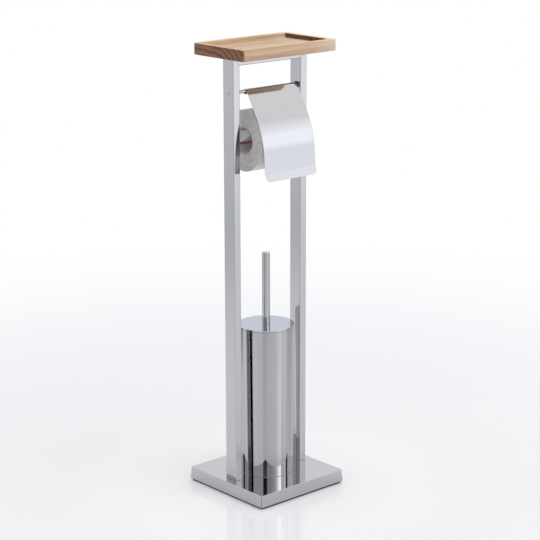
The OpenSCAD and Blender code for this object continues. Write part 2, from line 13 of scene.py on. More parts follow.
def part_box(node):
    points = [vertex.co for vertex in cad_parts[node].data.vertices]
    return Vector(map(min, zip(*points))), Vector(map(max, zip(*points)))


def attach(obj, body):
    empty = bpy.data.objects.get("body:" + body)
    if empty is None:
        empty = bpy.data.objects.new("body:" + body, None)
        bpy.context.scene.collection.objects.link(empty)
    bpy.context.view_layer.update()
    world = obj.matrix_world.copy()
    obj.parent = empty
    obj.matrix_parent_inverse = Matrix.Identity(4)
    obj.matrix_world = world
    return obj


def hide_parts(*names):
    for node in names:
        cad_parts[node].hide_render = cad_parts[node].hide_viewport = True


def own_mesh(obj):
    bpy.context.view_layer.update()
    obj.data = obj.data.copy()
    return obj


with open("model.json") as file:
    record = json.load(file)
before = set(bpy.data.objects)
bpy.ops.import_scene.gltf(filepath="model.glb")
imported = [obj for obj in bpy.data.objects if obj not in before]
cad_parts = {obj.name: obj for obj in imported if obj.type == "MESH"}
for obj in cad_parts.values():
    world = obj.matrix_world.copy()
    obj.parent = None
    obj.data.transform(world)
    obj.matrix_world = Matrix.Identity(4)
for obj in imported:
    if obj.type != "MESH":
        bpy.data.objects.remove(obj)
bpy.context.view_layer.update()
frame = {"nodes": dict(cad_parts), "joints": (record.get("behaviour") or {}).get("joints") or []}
scene = bpy.context.scene
MM = 0.001


# Camera, fitted to the straight edges of base, posts and tray in the photograph

def make_camera():
    data = bpy.data.cameras.new("camera")
    data.sensor_width = 36.0
    data.lens = 118.47
    data.clip_start, data.clip_end = 0.05, 100.0
    cam = bpy.data.objects.new("camera", data)
    scene.collection.objects.link(cam)
    cam.location = (-2.07259, -2.33853, 1.24544)
    azimuth, elevation, roll = (math.radians(v) for v in (-41.6865, 14.9706, 0.103))
    ahead = Vector((-math.sin(azimuth) * math.cos(elevation),
                    math.cos(azimuth) * math.cos(elevation), -math.sin(elevation)))
    cam.rotation_mode = "QUATERNION"
    cam.rotation_quaternion = (Matrix.Rotation(roll, 3, ahead)
                               @ ahead.to_track_quat("-Z", "Y").to_matrix()).to_quaternion()
    scene.camera = cam


make_camera()


# Node helpers

class Nodes:
    """Short calls for building one node tree."""

    def __init__(self, tree):
        self.tree = tree
        tree.nodes.clear()

    def add(self, kind, inputs=None, **settings):
        node = self.tree.nodes.new(kind)
        for key, value in settings.items():
            setattr(node, key, value)
        for key, value in (inputs or {}).items():
            if isinstance(value, bpy.types.NodeSocket):
                self.tree.links.new(value, node.inputs[key])
            else:
                node.inputs[key].default_value = value
        return node

    def link(self, a, b):
        self.tree.links.new(a, b)

    def math(self, operation, a, b=None, c=None):
        values = {i: v for i, v in enumerate((a, b, c)) if v is not None}
        return self.add("ShaderNodeMath", values, operation=operation).outputs[0]

    def length(self, vector):
        node = self.add("ShaderNodeVectorMath", {0: vector}, operation="LENGTH")
        return node.outputs["Value"]

    def radius(self, a, b):
        return self.math("SQRT", self.math("ADD", self.math("MULTIPLY", a, a),
                                           self.math("MULTIPLY", b, b)))

    def split(self, vector):
        return self.add("ShaderNodeSeparateXYZ", {0: vector}).outputs

    def noise(self, vector, scale, detail=3.0, roughness=0.5):
        node = self.add("ShaderNodeTexNoise", {"Vector": vector, "Scale": scale, "Detail": detail,
                                               "Roughness": roughness})
        return node.outputs["Fac"]

    def remap(self, value, from0, from1, to0, to1, smooth=False):
        node = self.add("ShaderNodeMapRange", {"Value": value, "From Min": from0,
                                               "From Max": from1, "To Min": to0, "To Max": to1})
        if smooth:
            node.interpolation_type = "SMOOTHSTEP"
        return node.outputs["Result"]

    def ramp(self, value, stops):
        node = self.add("ShaderNodeValToRGB", {"Fac": value})
        ramp = node.color_ramp
        first, last = ramp.elements[0], ramp.elements[-1]
        first.position, first.color = stops[0][0], (*stops[0][1], 1.0)
        last.position, last.color = stops[-1][0], (*stops[-1][1], 1.0)
        for place, colour in stops[1:-1]:
            ramp.elements.new(place).color = (*colour, 1.0)
        return node.outputs["Color"]

    def mix(self, fac, a, b, blend="MIX"):
        # For colours this node has its inputs at 6 and 7 and its result at 2
        node = self.add("ShaderNodeMix", data_type="RGBA", blend_type=blend)
        for index, value in ((0, fac), (6, a), (7, b)):
            if isinstance(value, bpy.types.NodeSocket):
                self.link(value, node.inputs[index])
            elif index == 0:
                node.inputs[index].default_value = value
            else:
                node.inputs[index].default_value = (*value, 1.0)
        return node.outputs[2]

    def bump(self, height, strength, distance):
        node = self.add("ShaderNodeBump", {"Height": height, "Strength": strength,
                                           "Distance": distance})
        return node.outputs["Normal"]

    def place(self):
        return self.add("ShaderNodeTexCoord").outputs["Object"]

    def sideways(self):
        """How far the surface faces along X, 0 to 1."""
        normal = self.add("ShaderNodeNewGeometry").outputs["Normal"]
        return self.math("ABSOLUTE", self.split(normal)[0])

    def camera_ray(self):
        return self.add("ShaderNodeLightPath").outputs["Is Camera Ray"]

    def stretch(self, vector, scale):
        node = self.add("ShaderNodeVectorMath", {0: vector, 1: scale}, operation="MULTIPLY")
        return node.outputs["Vector"]

    def surface(self, inputs):
        self.finish("ShaderNodeOutputMaterial", self.add("ShaderNodeBsdfPrincipled", inputs))

    def finish(self, kind, shader):
        self.link(shader.outputs[0], self.add(kind).inputs["Surface"])


def new_material(name):
    material = bpy.data.materials.new(name)
    material.use_nodes = True
    return material, Nodes(material.node_tree)


# Materials

def chrome(name, colour=(0.55, 0.552, 0.56), rough=0.03, wave=0.012):
    """Polished plating: a faint waviness, and fine wipe marks in the gloss."""
    material, n = new_material(name)
    p = n.place()
    wipe = n.noise(n.stretch(p, (60, 60, 9)), 1.0, 4, 0.6)
    slow = n.noise(p, 7.0, 2, 0.5)
    fine = n.noise(p, 900.0, 2, 0.5)
    rough_node = n.remap(wipe, 0.35, 0.75, rough * 0.7, rough * 1.6)
    tint = n.mix(n.remap(slow, 0.3, 0.7, 0, 1), colour, tuple(c * 0.965 for c in colour))
    height = n.math("ADD", slow, n.math("MULTIPLY", fine, 0.0006))
    n.surface({"Base Color": tint, "Metallic": 1.0, "Roughness": rough_node,
               "Normal": n.bump(height, wave, 0.01)})
    return material


def steel(name):
    """Zinc-plated steel of screws and nuts, slightly mottled."""
    material, n = new_material(name)
    p = n.place()
    mottle = n.noise(p, 380.0, 4, 0.6)
    tint = n.mix(n.remap(mottle, 0.3, 0.7, 0, 1), (0.42, 0.42, 0.43), (0.5, 0.49, 0.45))
    n.surface({"Base Color": tint, "Metallic": 1.0,
               "Roughness": n.remap(mottle, 0.3, 0.7, 0.28, 0.40),
               "Normal": n.bump(n.noise(p, 1500.0, 2), 0.08, 0.0002)})
    return material


def cast_iron(name):
    """Painted sand-cast iron with a grainy skin."""
    material, n = new_material(name)
    p = n.place()
    grain = n.noise(p, 420.0, 5, 0.65)
    coarse = n.noise(p, 40.0, 3, 0.5)
    n.surface({"Base Color": n.mix(n.remap(coarse, 0.35, 0.65, 0, 1), (0.045, 0.046, 0.05),
                                   (0.075, 0.073, 0.07)),
               "Roughness": n.remap(grain, 0.3, 0.7, 0.5, 0.8),
               "Normal": n.bump(grain, 0.5, 0.0006)})
    return material


def rubber(name):
    """Black rubber sheet with a fine matte grain."""
    material, n = new_material(name)
    p = n.place()
    grain = n.noise(p, 1400.0, 3, 0.6)
    dust = n.noise(p, 60.0, 4, 0.6)
    n.surface({"Base Color": n.mix(n.remap(dust, 0.45, 0.8, 0, 1), (0.018, 0.018, 0.019),
                                   (0.04, 0.04, 0.04)),
               "Roughness": n.remap(grain, 0.3, 0.7, 0.65, 0.85),
               "Normal": n.bump(grain, 0.3, 0.0001)})
    return material


def plastic(name, colour, dark, rough):
    """Moulded plastic with a light satin texture."""
    material, n = new_material(name)
    p = n.place()
    grain = n.noise(p, 1100.0, 3, 0.55)
    cloud = n.noise(p, 30.0, 3, 0.5)
    n.surface({"Base Color": n.mix(n.remap(cloud, 0.35, 0.7, 0, 1), colour, dark),
               "Roughness": n.remap(grain, 0.3, 0.7, rough, rough + 0.12),
               "Normal": n.bump(grain, 0.15, 0.0001)})
    return material


def wood(name):
    """Pale plank with its grain along X: fine long lines on the sides, arcs of growth and
    a much darker tone on the end grain, under a thin matt finish."""
    material, n = new_material(name)
    p = n.place()
    bend = n.noise(n.stretch(p, (3.0, 9.0, 9.0)), 1.0, 2, 0.5)
    x, y, z = n.split(p)
    # Distance from the heart of the log, which lies below and behind the plank
    ry = n.math("ADD", n.math("SUBTRACT", y, 0.045), n.math("MULTIPLY", bend, 0.030))
    rz = n.math("ADD", n.math("SUBTRACT", z, 0.745), n.math("MULTIPLY", bend, 0.022))
    warp = n.noise(n.stretch(p, (2.0, 40.0, 40.0)), 1.0, 3, 0.5)
    rings_per_metre = 95.0
    rings = n.math("FRACT", n.math("ADD", n.math("MULTIPLY", n.radius(ry, rz), rings_per_metre),
                                   n.math("MULTIPLY", warp, 1.3)))
    band = n.ramp(rings, [(0.0, (0, 0, 0)), (0.55, (0.35, 0.35, 0.35)), (0.9, (1, 1, 1)),
                          (1.0, (0.05, 0.05, 0.05))])
    band = n.add("ShaderNodeRGBToBW", {0: band}).outputs[0]
    fibre = n.noise(n.stretch(p, (14.0, 900.0, 900.0)), 1.0, 4, 0.6)
    streak = n.noise(n.stretch(p, (4.0, 130.0, 130.0)), 1.0, 3, 0.55)
    pale, tan, brown = (0.70, 0.51, 0.35), (0.53, 0.35, 0.215), (0.32, 0.185, 0.11)
    long_side = n.mix(n.math("MULTIPLY", band, 0.8), pale, tan)
    long_side = n.mix(n.remap(streak, 0.44, 0.70, 0, 0.55), long_side, brown)
    long_side = n.mix(n.remap(fibre, 0.45, 0.8, 0, 0.30), long_side, (0.45, 0.28, 0.17))
    # Sapwood towards the right end
    long_side = n.mix(n.remap(x, 0.05, 0.105, 0, 0.55), long_side, (0.79, 0.65, 0.52))
    end_grain = n.mix(n.remap(band, 0.1, 0.9, 0, 1), (0.30, 0.160, 0.092),
                      (0.105, 0.046, 0.025))
    pore = n.noise(n.stretch(p, (200.0, 1500.0, 1500.0)), 1.0, 3, 0.6)
    end_grain = n.mix(n.remap(pore, 0.35, 0.7, 0, 0.5), end_grain, (0.155, 0.075, 0.042))
    # Painted shade: the end grain is darker still towards the right end, on the right wall of the
    # recess, which lies in shade
    recess_wall_shade = n.remap(x, 0.06, 0.075, 0, 1)
    shaded_end_grain = n.mix(1.0, end_grain, (0.62, 0.50, 0.42), blend="MULTIPLY")
    end_grain = n.mix(recess_wall_shade, end_grain, shaded_end_grain)
    # The end grain shows where the surface faces along the plank
    at_end = n.remap(n.sideways(), 0.35, 0.8, 0, 1, smooth=True)
    colour = n.mix(at_end, long_side, end_grain)
    height = n.math("ADD", n.math("MULTIPLY", fibre, 0.6), n.math("MULTIPLY", band, 0.25))
    n.surface({"Base Color": colour,
               "Roughness": n.remap(fibre, 0.3, 0.8, 0.42, 0.6),
               "Specular IOR Level": 0.15,
               "Normal": n.bump(height, 0.25, 0.0002)})
    return material


def paper(name, axis_y, axis_z, radius):
    """Soft tissue: fine wound layers on the ends and a light embossing on the outside."""
    material, n = new_material(name)
    p = n.place()
    x, y, z = n.split(p)
    dy, dz = n.math("SUBTRACT", y, axis_y), n.math("SUBTRACT", z, axis_z)
    turn = n.math("ARCTAN2", dz, dy)
    fuzz = n.noise(p, 900.0, 4, 0.65)
    blotch = n.noise(p, 230.0, 4, 0.65)
    wound = n.add("ShaderNodeCombineXYZ", {0: n.math("MULTIPLY", n.radius(dy, dz), 1500.0),
                                           1: n.math("MULTIPLY", turn, 1.6)}).outputs[0]
    layers = n.noise(wound, 1.0, 3, 0.6)
    at_end = n.remap(n.sideways(), 0.6, 0.95, 0, 1, smooth=True)
    # Rows of small raised dots, in every second row half a step along
    dot_pitch = 0.0042
    row = n.math("MULTIPLY", turn, radius / dot_pitch)
    column = n.math("ADD", n.math("MULTIPLY", x, 1 / dot_pitch),
                    n.math("MULTIPLY", n.math("FLOOR", row), 0.5))
    cell = n.math("MULTIPLY", n.math("PINGPONG", row, 0.5), n.math("PINGPONG", column, 0.5))
    emboss = n.remap(cell, 0.08, 0.2, 0, 1, smooth=True)
    side_height = n.math("ADD", n.math("MULTIPLY", emboss, 0.8), n.math("MULTIPLY", fuzz, 0.5))
    end_height = n.math("ADD", layers, n.math("MULTIPLY", blotch, 0.9))
    height = n.math("ADD", n.math("MULTIPLY", side_height, n.math("SUBTRACT", 1.0, at_end)),
                    n.math("MULTIPLY", end_height, at_end))
    white, shade, end_shade = (0.86, 0.86, 0.86), (0.74, 0.74, 0.74), (0.50, 0.50, 0.505)
    side = n.mix(n.remap(fuzz, 0.35, 0.7, 0, 0.375), white, shade)
    # Painted shade: the ends take a darker copy of the paper's colours
    end = n.mix(n.remap(layers, 0.35, 0.7, 0, 1), shade, end_shade)
    end = n.mix(n.remap(blotch, 0.44, 0.66, 0, 0.7), end, (0.40, 0.40, 0.405))
    n.surface({"Base Color": n.mix(at_end, side, end), "Roughness": 0.95,
               "Specular IOR Level": 0.1, "Sheen Weight": 0.15, "Sheen Roughness": 0.6,
               "Normal": n.bump(height, 0.55, 0.0004)})
    return material


def cardboard(name, axis_y, axis_z):
    """Grey board with a painted red-brown shadow line along its length, under the spindle's lower
    edge.
    """
    material, n = new_material(name)
    p = n.place()
    _, y, z = n.split(p)
    turn = n.math("ARCTAN2", n.math("SUBTRACT", z, axis_z), n.math("SUBTRACT", y, axis_y))
    # Painted shadow: the seam here is this red-brown line, where the spindle's lower edge shades
    # the board
    shadow_line_at = math.radians(-22.0)
    off_shadow_line = n.math("ABSOLUTE", n.math("SUBTRACT", turn, shadow_line_at))
    seam = n.remap(off_shadow_line, 0.085, 0.105, 1, 0)
    fibre = n.noise(n.stretch(p, (220.0, 420.0, 420.0)), 1.0, 5, 0.65)
    colour = n.mix(n.remap(fibre, 0.3, 0.7, 0, 1), (0.78, 0.72, 0.705), (0.64, 0.585, 0.57))
    colour = n.mix(n.math("MULTIPLY", seam, 0.92), colour, (0.46, 0.075, 0.025))
    n.surface({"Base Color": colour, "Roughness": 0.9, "Specular IOR Level": 0.15,
               "Normal": n.bump(n.math("SUBTRACT", fibre, seam), 0.3, 0.0003)})
    return material


# Mesh helpers

def mesh_object(name, vertices, faces, body, slot, material, angle=32.0, weighted=True):
    """One piece from points in metres: smooth, with sharp edges past the given angle.
    Weighted normals keep flat faces flat beside rounded edges."""
    mesh = bpy.data.meshes.new(name)
    mesh.from_pydata([tuple(v) for v in vertices], [], faces)
    mesh.validate()
    mesh.update()
    mesh.shade_smooth()
    mesh.set_sharp_from_angle(angle=math.radians(angle))
    mesh.materials.append(material)
    piece = bpy.data.objects.new(name, mesh)
    scene.collection.objects.link(piece)
    if weighted:
        modifier = piece.modifiers.new("normals", "WEIGHTED_NORMAL")
        modifier.keep_sharp = True
        modifier.weight = 80
    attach(piece, body)
    return piece


def loft(rings):
    """Points and faces through rings of equally many points, with a cap at each end. The
    faces look outwards when each ring turns anticlockwise round the direction of travel."""
    count = len(rings[0])
    vertices = [v for ring in rings for v in ring]
    faces = []
    for i in range(len(rings) - 1):
        a, b = i * count, (i + 1) * count
        for j in range(count):
            k = (j + 1) % count
            faces.append((a + j, a + k, b + k, b + j))
    faces.append(tuple(reversed(range(count))))
    faces.append(tuple((len(rings) - 1) * count + j for j in range(count)))
    return vertices, faces


def round_rect(w, d, r, z, steps=6, seam=0.0):
    """An anticlockwise ring in millimetres, seen from above. A seam is the depth of a fine
    groove in the middle of each corner."""
    ring = []
    for corner, (sx, sy) in enumerate(((1, 1), (-1, 1), (-1, -1), (1, -1))):
        for i in range(steps + 1):
            a = math.radians(90.0 * (corner + i / steps))
            reach = r - (seam if 2 * i == steps else 0.0)
            ring.append(Vector((sx * (w / 2 - r) + reach * math.cos(a),
                                sy * (d / 2 - r) + reach * math.sin(a), z)) * MM)
    return ring


def quarter(r, steps):
    """Offsets for rounding an edge: the first grows from 0 to r, the second falls from r
    to 0."""
    turns = [math.radians(90.0 * i / steps) for i in range(steps + 1)]
    return [(r * (1 - math.cos(a)), r * (1 - math.sin(a))) for a in turns]


def arc(cx, cy, r, a0, a1, steps):
    """Points on an arc in a profile's plane, in millimetres."""
    return [(cx + r * math.cos(math.radians(a0 + (a1 - a0) * i / steps)),
             cy + r * math.sin(math.radians(a0 + (a1 - a0) * i / steps)))
            for i in range(steps + 1)]


def lower_edge(r, h, soft, steps):
    """The rounded outer edge at the lower end of a turned profile, from inside outwards."""
    return arc(r - soft, h + soft, soft, 270, 360, steps)


def upper_edge(r, h, soft, steps):
    """The same at the upper end, from outside inwards."""
    return arc(r - soft, h - soft, soft, 0, 90, steps)


def lathe(profile, to_point, segments=128, closed=False):
    """Turns (radius, height) points, in millimetres, about an axis. Points with no radius
    close the ends, or closed joins the last point to the first. to_point(radius, angle,
    height) gives the place in millimetres."""
    vertices, faces, rows = [], [], []
    for r, h in profile:
        if r < 1e-6:
            rows.append([len(vertices)])
            vertices.append(to_point(0.0, 0.0, h) * MM)
        else:
            rows.append(list(range(len(vertices), len(vertices) + segments)))
            vertices += [to_point(r, 2 * math.pi * j / segments, h) * MM
                         for j in range(segments)]
    for i in range(len(rows) if closed else len(rows) - 1):
        a, b = rows[i], rows[(i + 1) % len(rows)]
        for j in range(segments):
            k = (j + 1) % segments
            if len(a) == 1:
                faces.append((a[0], b[k], b[j]))
            elif len(b) == 1:
                faces.append((a[j], a[k], b[0]))
            else:
                faces.append((a[j], a[k], b[k], b[j]))
    return vertices, faces


def upright(r, a, h):
    """Heights run up along Z."""
    return Vector((r * math.cos(a), r * math.sin(a), h))


def along_x(y, z, sign=1.0):
    """Heights run along X. A sign of -1 turns the piece end for end."""
    return lambda r, a, h: Vector((sign * h, y + r * math.cos(a),
                                   z + sign * r * math.sin(a)))


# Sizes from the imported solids, in millimetres

def corners(node):
    lo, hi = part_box(node)
    return lo / MM, hi / MM


base_lo, base_hi = corners("base_cover")
post_lo, post_hi = corners("left_post")
tray_lo, tray_hi = corners("tray")
_, can_hi = corners("canister_shell")
_, lid_hi = corners("brush_lid")
handle_lo, handle_hi = corners("brush_handle")
roll_lo, roll_hi = corners("paper_roll")
cover_lo, cover_hi = corners("cover")
rod_lo, rod_hi = corners("hinge_rod")
barrel_lo, barrel_hi = corners("spindle_barrel")
plunger_lo, plunger_hi = corners("spindle_plunger")
liner_lo, liner_hi = corners("canister_liner")
hub_lo, hub_hi = corners("brush_hub")
stem_lo, stem_hi = corners("brush_stem")
BASE_TOP = base_hi.z
FRAME_TOP = post_hi.z
OUTER_X = -post_lo.x
INNER_X = -post_hi.x
POST_D = post_hi.y - post_lo.y
ROD_Y, ROD_Z = (rod_lo.y + rod_hi.y) / 2, (rod_lo.z + rod_hi.z) / 2
ROLL_Y = (roll_lo.y + roll_hi.y) / 2
ROLL_R = (roll_hi.z - roll_lo.z) / 2
ROLL_Z = (roll_lo.z + roll_hi.z) / 2
SPINDLE_Z = (barrel_lo.z + barrel_hi.z) / 2

chrome_base = chrome("chrome_base", rough=0.035)
chrome_frame = chrome("chrome_frame")
chrome_cover = chrome("chrome_cover", (0.56, 0.56, 0.568), rough=0.05, wave=0.006)
chrome_canister = chrome("chrome_canister", (0.51, 0.512, 0.522), rough=0.015, wave=0.0015)
chrome_brush = chrome("chrome_brush")
chrome_spindle = chrome("chrome_spindle", (0.90, 0.90, 0.91), rough=0.2)
steel_mat = steel("steel")
iron_mat = cast_iron("ballast")
rubber_mat = rubber("pad")
wood_mat = wood("wood")
washer_mat = plastic("washer", (0.02, 0.02, 0.021), (0.032, 0.032, 0.033), 0.35)
liner_mat = plastic("liner", (0.74, 0.74, 0.74), (0.68, 0.68, 0.69), 0.3)
brush_mat = plastic("brush", (0.78, 0.78, 0.78), (0.7, 0.7, 0.71), 0.35)
paper_mat = paper("paper", ROLL_Y * MM, ROLL_Z * MM, ROLL_R * MM)
core_mat = cardboard("core", ROLL_Y * MM, ROLL_Z * MM)


# Base

def base_cover():
    """The flared sheet cover with fine rounded edges, open below."""
    w_top, w_foot, h = 200.0, base_hi.x - base_lo.x, BASE_TOP - base_lo.z
    wall, edge, foot_edge = 1.5, 0.40, 0.85
    corner, seam, inner_corner = 1.7, 1.2, 0.6

    def ring(z, inset, r, seam=0.0):
        w = w_top + (w_foot - w_top) * (BASE_TOP - z) / h - 2 * inset
        return round_rect(w, w, r, z, seam=seam)

    # Down the inside from under the top, round the foot and up the outside
    rings = [ring(BASE_TOP - wall, wall, inner_corner),
             ring(base_lo.z + 0.4, wall, inner_corner), ring(base_lo.z, wall - 0.3, 0.8)]
    rings += [ring(base_lo.z + u, v, corner, seam) for u, v in quarter(foot_edge, 4)]
    rings += [ring(BASE_TOP - v, u, corner, seam) for u, v in quarter(edge, 4)]
    piece = mesh_object("base_shell", *loft(rings), "frame", "chrome_base", chrome_base)
    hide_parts("base_cover")


def pad():
    """The rubber sheet under the base, which shows as a dark line below the skirt. It reaches to 2
    mm inside the skirt's foot, so its black edge is partly real rubber and partly painted shade
    for the gap.
    """
    lo, hi = corners("base_pad")
    inset, soft, corner = 2.0, 0.4, 6.0
    w = base_hi.x - base_lo.x - 2 * inset
    rings = [round_rect(w - 2 * v, w - 2 * v, corner - v, z)
             for v, z in ((soft, lo.z), (0.0, lo.z + soft), (0.0, hi.z - soft), (soft, hi.z))]
    piece = mesh_object("rubber_foot", *loft(rings), "frame", "pad", rubber_mat)
    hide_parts("base_pad")


base_cover()
pad()


# Frame

TUBE_W = OUTER_X - INNER_X
# The tubes are drawn in a little near each end, which leaves a fine groove at the joints.
# These are its depth, and how far from the base and from the mitre it starts and ends.
GROOVE = 0.3
FOOT_NEAR, FOOT_END = 0.5, 0.25
MITRE_NEAR, MITRE_END = 0.45, 0.15


def tube_outline(inset, r):
    """The tube's outline about its middle, as (across, through) pairs in millimetres."""
    ring = round_rect(TUBE_W - 2 * inset, POST_D - 2 * inset, r, 0.0, 5)
    return [(v.x / MM, v.y / MM) for v in ring]


TUBE = tube_outline(0.0, 1.7)
TUBE_END = tube_outline(GROOVE, 1.4)


def post(name, side, node):
    """A post with a mitred top. side is -1 for the left post and 1 for the right one."""
    mid = side * (OUTER_X + INNER_X) / 2

    def at(u, v, z):
        return Vector((mid + u, v, z)) * MM

    def top(u):
        return FRAME_TOP - (OUTER_X - abs(mid + u))

    rings = [[at(u, v, BASE_TOP + FOOT_END) for u, v in TUBE_END],
             [at(u, v, BASE_TOP + FOOT_NEAR) for u, v in TUBE],
             [at(u, v, top(u) - MITRE_NEAR) for u, v in TUBE],
             [at(u, v, top(u) - MITRE_END) for u, v in TUBE_END]]
    piece = mesh_object(name, *loft(rings), "frame", "chrome_frame", chrome_frame)
    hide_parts(node)


def top_bar():
    """The bar between the posts' mitres."""
    mid = FRAME_TOP - TUBE_W / 2

    def at(u, v, sign, gap):
        # u runs down from the top, so the ring keeps its turning sense along +X
        z = mid - u
        return Vector((sign * (OUTER_X - (FRAME_TOP - z) - gap), v, z)) * MM

    rings = [[at(u, v, sign, gap) for u, v in outline] for sign, gap, outline in (
        (-1, MITRE_END, TUBE_END), (-1, MITRE_NEAR, TUBE), (1, MITRE_NEAR, TUBE),
        (1, MITRE_END, TUBE_END))]
    piece = mesh_object("top_tube", *loft(rings), "frame", "chrome_frame", chrome_frame)
    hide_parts("top_bar")


post("post_left", -1, "left_post")
post("post_right", 1, "right_post")
top_bar()


# Tray

def tray():
    """The board with its recess, every edge rounded."""
    w, d = tray_hi.x - tray_lo.x, tray_hi.y - tray_lo.y
    z0, z1 = tray_lo.z, tray_hi.z
    corner, edge, rim, depth = 8.0, 1.6, 12.0, 8.5
    recess_corner, lip, cove = 5.0, 1.2, 2.2
    outside = [(v, z0 + u) for u, v in quarter(edge, 5)]
    outside += [(u, z1 - v) for u, v in quarter(edge, 5)]
    recess = [(rim - v, z1 - u) for u, v in quarter(lip, 5)]
    recess += [(rim + u, z1 - depth + v) for u, v in quarter(cove, 5)]
    rings = [round_rect(w - 2 * inset, d - 2 * inset, r - inset, z, 10)
             for r, pairs in ((corner, outside), (recess_corner + rim, recess))
             for inset, z in pairs]
    piece = mesh_object("tray_board", *loft(rings), "frame", "wood", wood_mat, angle=50)
    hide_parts("tray")


tray()


# Rod, its screws and washers

def rod_parts():
    """The hinge rod, and at each post a washer inside and a sunk screw outside."""
    end, rod_r, rod_edge = rod_hi.x, 3.0, 0.3
    profile = [(0, -end), *lower_edge(rod_r, -end, rod_edge, 3),
               *upper_edge(rod_r, end, rod_edge, 3), (0, end)]
    piece = mesh_object("rod", *lathe(profile, along_x(ROD_Y, ROD_Z), 64), "frame",
                        "chrome_frame", chrome_frame)
    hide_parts("hinge_rod")
    # Heights run outwards from the middle of the frame on both sides
    thick, bore_r, washer_r, washer_edge = 1.2, 3.05, 5.5, 0.4
    ring = [(bore_r, INNER_X - thick), *lower_edge(washer_r, INNER_X - thick, washer_edge, 3),
            (washer_r, INNER_X), (bore_r, INNER_X)]
    # (radius, height over the post's face): the shank, the sunk head and its hollow
    screw = [(r, OUTER_X + h) for r, h in (
        (0.0, -11.0), (2.0, -11.0), (2.0, -1.5), (3.2, 0.01), (3.1, 0.05), (2.6, 0.08),
        (1.5, 0.08), (1.4, 0.02), (1.3, -0.6), (0.0, -1.2))]
    ways = [along_x(ROD_Y, ROD_Z, sign) for sign in (-1.0, 1.0)]
    washers = [lathe(ring, way, 48, closed=True) for way in ways]
    screws = [lathe(screw, way, 48) for way in ways]
    for name, parts, slot, material, node in (
            ("washers", washers, "washer", washer_mat, "rod_washers"),
            ("rod_ends", screws, "steel", steel_mat, "rod_screws")):
        vertices = parts[0][0] + parts[1][0]
        shift = len(parts[0][0])
        faces = parts[0][1] + [tuple(v + shift for v in face) for face in parts[1][1]]
        piece = mesh_object(name, vertices, faces, "frame", slot, material)
        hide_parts(node)


rod_parts()


# Cover: the same profile as the solid's, with rolled edges and rounded lip corners

def cover():
    """One sheet: curl, flat, curve, skirt and a lip bent forward, hung from the rod's axis
    and turned until the curve lies on the roll."""
    thick, tilt, rest_gap = 0.8, 60.0, 0.3
    pivot = [j["pos_m"] for j in frame["joints"] if j["name"] == "cover_swing"][0]
    pivot_y, pivot_z = pivot[1] / MM, pivot[2] / MM
    # Radii and lengths in millimetres, sweeps in degrees, from the rod down
    curl, curl_sweep, flat = 4.8, 290.0, 51.3
    curve, sweep, skirt = 158.3, 26.0, 31.0
    lip_r, lip_bend, lip_l, lip_corner = 2.0, 18.0, 13.5, 10.0
    s, c = math.sin(math.radians(tilt)), math.cos(math.radians(tilt))
    # The middle of the large curve, and the turn that brings it to the roll
    by = -curl * s - flat * c + curve * s
    bz = curl * c - flat * s - curve * c
    reach = math.hypot(by, bz)
    to_roll_y, to_roll_z = ROLL_Y - pivot_y, ROLL_Z - pivot_z
    to_roll = math.hypot(to_roll_y, to_roll_z)
    apart = curve - thick - ROLL_R - rest_gap
    bend = math.acos((reach ** 2 + to_roll ** 2 - apart ** 2) / (2 * reach * to_roll))
    turn = math.atan2(to_roll_z, to_roll_y) + bend - math.atan2(bz, by)
    cos_t, sin_t = math.cos(turn), math.sin(turn)

    # Path of the sheet's middle layer: (y, z, direction it faces outwards in degrees)
    mid = thick / 2
    start = 90 + tilt
    open_end = start - curl_sweep
    path = [(*p, open_end + curl_sweep * i / 40)
            for i, p in enumerate(arc(0, 0, curl - mid, open_end, start, 40))]
    path += [(*p, start + sweep * i / 52)
             for i, p in enumerate(arc(by, bz, curve - mid, start, start + sweep, 52))]
    # The bend to the lip turns about a point beyond the flat skirt
    facing = start + sweep
    end = math.radians(facing)
    ly = by + (curve + lip_r) * math.cos(end) - skirt * math.sin(end)
    lz = bz + (curve + lip_r) * math.sin(end) + skirt * math.cos(end)
    path += [(*p, facing - lip_bend * i / 6) for i, p in enumerate(
        arc(ly, lz, lip_r + mid, facing + 180, facing + 180 - lip_bend, 6))]
    y0, z0, facing = path[-1]
    down = math.radians(facing)
    # The lip's rows, and how far its round corners draw each row in at the ends
    lip_rows = quarter(lip_corner, 12)
    draw_in = [0.0] * len(path) + [u for u, _ in lip_rows]
    path += [(y0 - (lip_l - v) * math.sin(down), z0 + (lip_l - v) * math.cos(down), facing)
             for _, v in lip_rows]

    round_off = quarter(0.18, 2)
    edge = round_off[-1][0]
    # The columns at the sides lie close together, so that the shading stays flat up to them
    columns = [0.003, *(i / 24 for i in range(1, 24)), 0.997]

    def place(x, y, z):
        return Vector((x, pivot_y + y * cos_t - z * sin_t, pivot_z + y * sin_t + z * cos_t)) * MM

    rows = []
    for (y, z, a), inset in zip(path, draw_in):
        ny, nz = math.cos(math.radians(a)), math.sin(math.radians(a))
        x0, x1 = cover_lo.x + inset, cover_hi.x - inset
        across = [x0 + edge + (x1 - x0 - 2 * edge) * u for u in columns]
        outline = [(x0 + u, v - mid) for u, v in round_off]
        outline += [(x, -mid) for x in across]
        outline += [(x1 - u, v - mid) for u, v in reversed(round_off)]
        outline += [(x1 - u, mid - v) for u, v in round_off]
        outline += [(x, mid) for x in reversed(across)]
        outline += [(x0 + u, mid - v) for u, v in reversed(round_off)]
        rows.append([place(x, y + depth * ny, z + depth * nz) for x, depth in outline])
    piece = mesh_object("cover_sheet", *loft(rows), "cover", "chrome_cover", chrome_cover,
                        angle=40, weighted=False)
    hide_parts("cover")


cover()


# Roll

